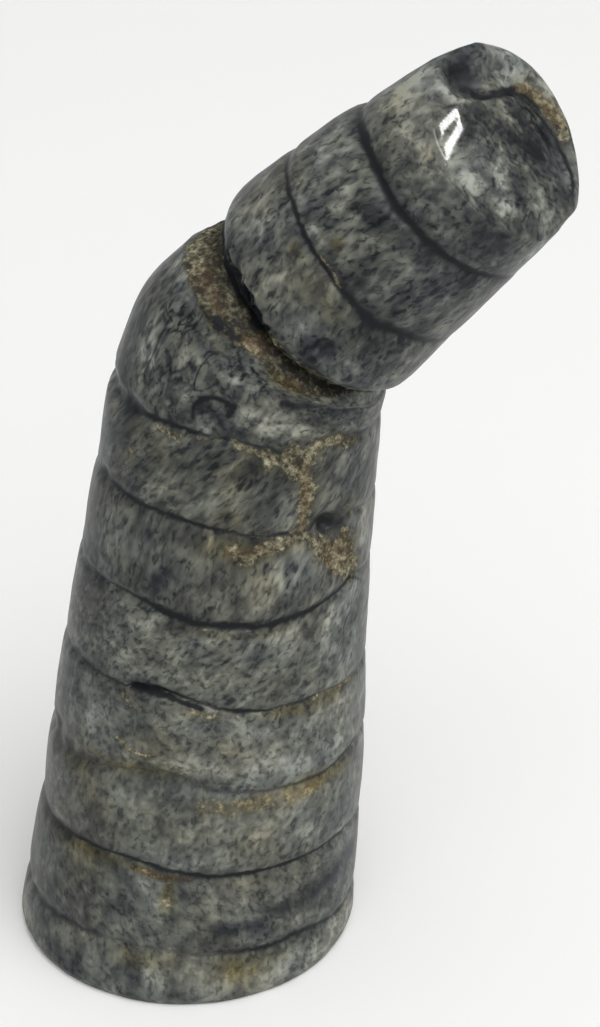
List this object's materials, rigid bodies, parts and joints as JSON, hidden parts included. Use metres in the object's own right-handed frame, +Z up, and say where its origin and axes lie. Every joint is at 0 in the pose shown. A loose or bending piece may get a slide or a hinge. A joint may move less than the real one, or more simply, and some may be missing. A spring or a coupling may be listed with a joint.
{
  "type": "orthoceras fossil",
  "caption": "Polished straight-shelled nautiloid fossil that stands on its sawn base, chambered, with a healed break and a tilted worn tip.",
  "frame": {"origin": "centre of the flat sawn base", "axes": "+Z up from the base, +X the way the upper part leans, -Y the front that shows the forked crack"},
  "size_m": [0.0694, 0.0438, 0.1201],
  "materials": {
    "polished_limestone": "polished, mottled grey with dark suture lines and brown iron stains"
  },
  "bodies": {
    "root": {"fossil": "polished_limestone"}
  },
  "joints": []
}
